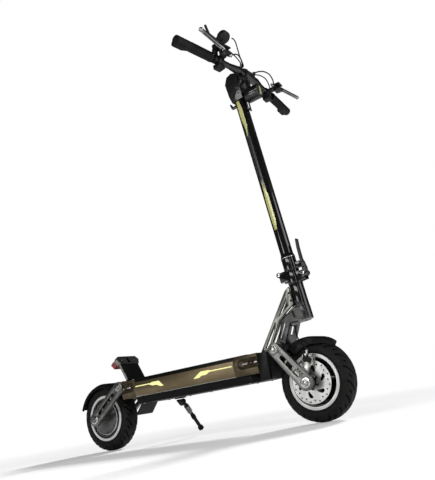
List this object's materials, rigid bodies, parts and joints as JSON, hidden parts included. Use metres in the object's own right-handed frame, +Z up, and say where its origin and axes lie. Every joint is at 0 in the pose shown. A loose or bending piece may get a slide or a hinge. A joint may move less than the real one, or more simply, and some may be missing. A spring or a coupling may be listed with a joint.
{
  "type": "electric kick scooter",
  "caption": "Folding electric kick scooter with swing-arm suspension, a rear hub motor, a disc brake in front, a kick plate and a kickstand.",
  "frame": {"origin": "on the ground, on the middle plane, midway between the two axles", "axes": "+X towards the front wheel, +Y to the rider's left, +Z up"},
  "size_m": [1.211, 0.75, 1.3617],
  "materials": {
    "bronze_anodised": "satin, bronze grey anodised",
    "deck_rubber": "ridged, matt",
    "black_painted": "semi-gloss black",
    "light_strip": "frosted, pale yellow",
    "battery_wrap": "shrink wrap",
    "raw_aluminium": "brushed",
    "silver_painted": "satin grey",
    "steel": "bright",
    "red_lens": "translucent red",
    "black_plastic": "fine grain",
    "soft_rubber": "matt",
    "cable_jacket": "satin",
    "tyre_rubber": "matt",
    "copper_windings": "lacquered",
    "red_plastic": "gloss",
    "green_plastic": "gloss",
    "lamp_lens": "clear, faceted"
  },
  "bodies": {
    "deck": {"deck_frame": "bronze_anodised", "deck_mat": "deck_rubber", "bottom_plate": "black_painted", "front_end_cap": "bronze_anodised", "rear_end_cap": "bronze_anodised", "front_block": "black_painted", "deck_lights": "light_strip", "battery_pack": "battery_wrap", "motor_controller": "raw_aluminium", "neck": "silver_painted", "head_tube": "black_painted", "head_bearings": "steel", "kick_plate": "black_painted", "tail_lamp": "red_lens", "deck_screws": "steel", "charge_socket": "black_plastic", "splash_guard": "soft_rubber", "kickstand_bracket": "black_painted", "harness_cable": "cable_jacket"},
    "steering": {"steerer": "raw_aluminium", "fork_frame": "black_painted", "fold_base": "black_painted", "hinge_pin": "steel"},
    "front_arm": {"front_arms": "silver_painted", "front_pivot_shaft": "steel", "front_axle": "steel", "brake_caliper": "silver_painted", "front_fender": "black_plastic", "brake_cable": "cable_jacket"},
    "caliper_arm": {"caliper_lever": "black_painted"},
    "front_wheel": {"front_tyre": "tyre_rubber", "front_rim": "black_painted", "brake_disc": "steel", "front_bearings": "steel"},
    "rear_arm": {"rear_arms": "silver_painted", "rear_pivot_shaft": "steel", "rear_axle": "steel", "rear_fender": "black_plastic", "motor_stator": "copper_windings"},
    "rear_wheel": {"rear_tyre": "tyre_rubber", "motor_shell": "black_painted", "motor_covers": "silver_painted"},
    "kickstand": {"kickstand_leg": "black_painted"},
    "stem": {"stem_tube": "black_painted", "stem_strips": "light_strip", "stem_head": "black_painted", "handlebar": "black_painted", "grips": "soft_rubber", "brake_perches": "black_painted", "throttle_body": "black_plastic", "switch_pods": "black_plastic", "headlight_body": "black_painted", "headlight_lens": "lamp_lens", "bar_cables": "cable_jacket"},
    "right_lever": {"brake_lever_right": "raw_aluminium"},
    "left_lever": {"brake_lever_left": "raw_aluminium"},
    "throttle": {"throttle_trigger": "black_plastic"},
    "latch": {"latch_lever": "silver_painted"},
    "horn": {"horn_button": "red_plastic"},
    "light_switch": {"light_button": "green_plastic"}
  },
  "joints": [
    {"name": "steering_turn", "type": "hinge", "parent": "deck", "child": "steering", "pos_m": [0.476, 0, 0.35], "axis": [-0.1132, 0, 0.9936], "range_deg": [-20, 20]},
    {"name": "front_suspension", "type": "hinge", "parent": "steering", "child": "front_arm", "pos_m": [0.385, 0, 0.248], "axis": [0, -1, 0], "range_deg": [0, 9], "stiffness_Nm_per_rad": 150, "springref_deg": -20.05, "deforming": ["brake_cable"]},
    {"name": "rear_suspension", "type": "hinge", "parent": "deck", "child": "rear_arm", "pos_m": [-0.333, 0, 0.232], "axis": [0, 1, 0], "range_deg": [0, 8], "stiffness_Nm_per_rad": 260, "springref_deg": -20.05},
    {"name": "front_wheel_spin", "type": "hinge", "parent": "front_arm", "child": "front_wheel", "pos_m": [0.478, 0, 0.1275], "axis": [0, 1, 0], "continuous": true},
    {"name": "rear_wheel_spin", "type": "hinge", "parent": "rear_arm", "child": "rear_wheel", "pos_m": [-0.478, 0, 0.1275], "axis": [0, 1, 0], "continuous": true},
    {"name": "stem_fold", "type": "hinge", "parent": "steering", "child": "stem", "pos_m": [0.41542, 0, 0.49306], "axis": [0, -1, 0], "range_deg": [0, 93]},
    {"name": "latch_turn", "type": "hinge", "parent": "steering", "child": "latch", "pos_m": [0.50744, 0, 0.4804], "axis": [0, 1, 0], "range_deg": [0, 60]},
    {"name": "kickstand_fold", "type": "hinge", "parent": "deck", "child": "kickstand", "pos_m": [-0.159, 0.08, 0.141], "axis": [0, 0.7071, 0.7071], "range_deg": [0, 83]},
    {"name": "brake_right", "type": "hinge", "parent": "stem", "child": "right_lever", "pos_m": [0.46026, -0.19501, 1.287], "axis": [0, 0, -1], "range_deg": [0, 16], "stiffness_Nm_per_rad": 1.2, "springref_deg": -11.46},
    {"name": "brake_left", "type": "hinge", "parent": "stem", "child": "left_lever", "pos_m": [0.46026, 0.19501, 1.287], "axis": [0, 0, 1], "range_deg": [0, 16], "stiffness_Nm_per_rad": 1.2, "springref_deg": -11.46},
    {"name": "caliper_turn", "type": "hinge", "parent": "front_arm", "child": "caliper_arm", "pos_m": [0.4813, -0.073, 0.1975], "axis": [0, 1, 0], "range_deg": [0, 32]},
    {"name": "throttle_pull", "type": "hinge", "parent": "stem", "child": "throttle", "pos_m": [0.45485, -0.21501, 1.313], "axis": [0, 0, -1], "range_deg": [0, 22], "stiffness_Nm_per_rad": 0.3, "springref_deg": -11.46},
    {"name": "horn_press", "type": "slide", "parent": "stem", "child": "horn", "axis": [0.993, 0.1184, 0], "range_m": [0, 0.0018], "stiffness_N_per_m": 400, "springref_m": -0.002},
    {"name": "light_press", "type": "slide", "parent": "stem", "child": "light_switch", "axis": [0.993, -0.1184, 0], "range_m": [0, 0.0018], "stiffness_N_per_m": 400, "springref_m": -0.002}
  ],
  "couplings": [
    {"joint": "caliper_turn", "follows": "brake_right", "ratio": 1.8}
  ]
}
